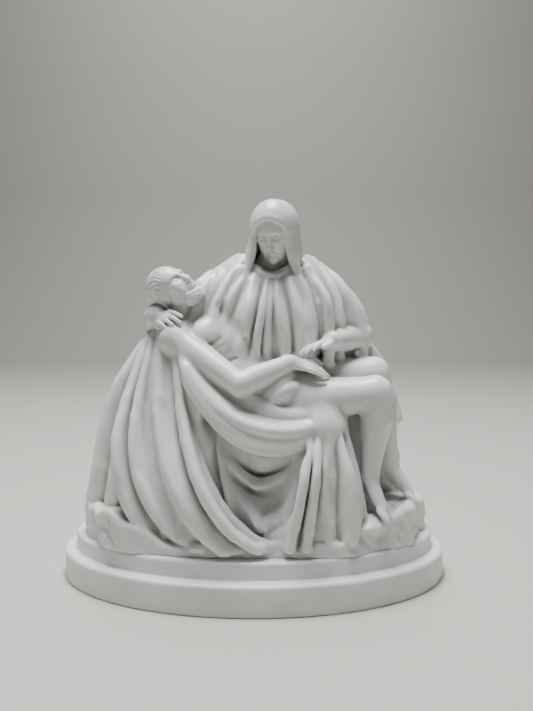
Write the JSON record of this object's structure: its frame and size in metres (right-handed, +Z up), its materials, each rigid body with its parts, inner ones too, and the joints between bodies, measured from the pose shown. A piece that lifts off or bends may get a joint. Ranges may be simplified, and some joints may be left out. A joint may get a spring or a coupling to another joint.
{
  "type": "pieta statuette",
  "caption": "Cast white resin statuette of a veiled seated woman holding a dead man across her lap, on a rock and a stepped oval plinth.",
  "frame": {"origin": "middle of the plinth's underside", "axes": "+Z up, +Y away from the viewer through the back of the group, +X to the viewer's right, along the oval's long axis"},
  "size_m": [0.15, 0.09, 0.146],
  "materials": {
    "group_resin": "white cast resin, satin, slightly translucent, soft-edged",
    "plinth_resin": "white cast resin, satin, slightly translucent, smooth with rounded edges"
  },
  "bodies": {
    "root": {"figure_group": "group_resin", "oval_plinth": "plinth_resin"}
  },
  "joints": []
}
